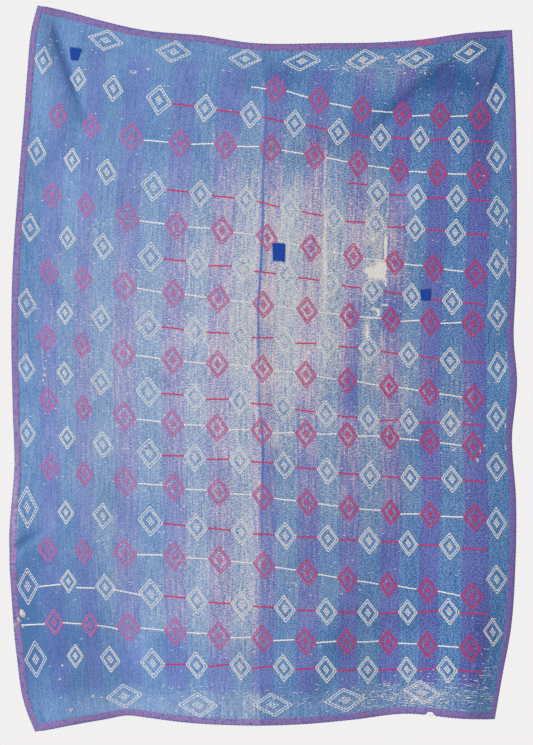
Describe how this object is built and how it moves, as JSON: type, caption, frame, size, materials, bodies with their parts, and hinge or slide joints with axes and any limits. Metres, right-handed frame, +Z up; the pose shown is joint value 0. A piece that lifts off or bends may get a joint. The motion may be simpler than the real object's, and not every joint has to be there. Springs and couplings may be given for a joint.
{
  "type": "kantha quilt",
  "caption": "Worn kantha quilt in striped cotton with embroidered diamonds, folded-over bindings and small mending patches, hanging from its top edge.",
  "frame": {"origin": "middle of the top edge, where the storage crease meets it", "axes": "+Z up along the hang, -Y towards the viewer in front of the embroidered face, +X to that viewer's right"},
  "size_m": [1.4257, 0.0794, 2.0407],
  "materials": {
    "quilt_cloth": "worn woven cotton, matt, blue and violet stripes",
    "binding": "plain woven cotton, matt, violet",
    "patch_cloth": "plain woven cotton, matt, royal blue",
    "thread_white": "cotton embroidery thread, off-white",
    "thread_magenta": "cotton embroidery thread, magenta",
    "thread_blue": "cotton sewing thread, dark blue"
  },
  "bodies": {
    "root": {"quilt_panel": "quilt_cloth", "binding_left": "binding", "binding_right": "binding", "binding_top": "binding", "binding_bottom": "binding", "patch_top_left": "patch_cloth", "patch_centre": "patch_cloth", "patch_right": "patch_cloth"}
  },
  "joints": []
}
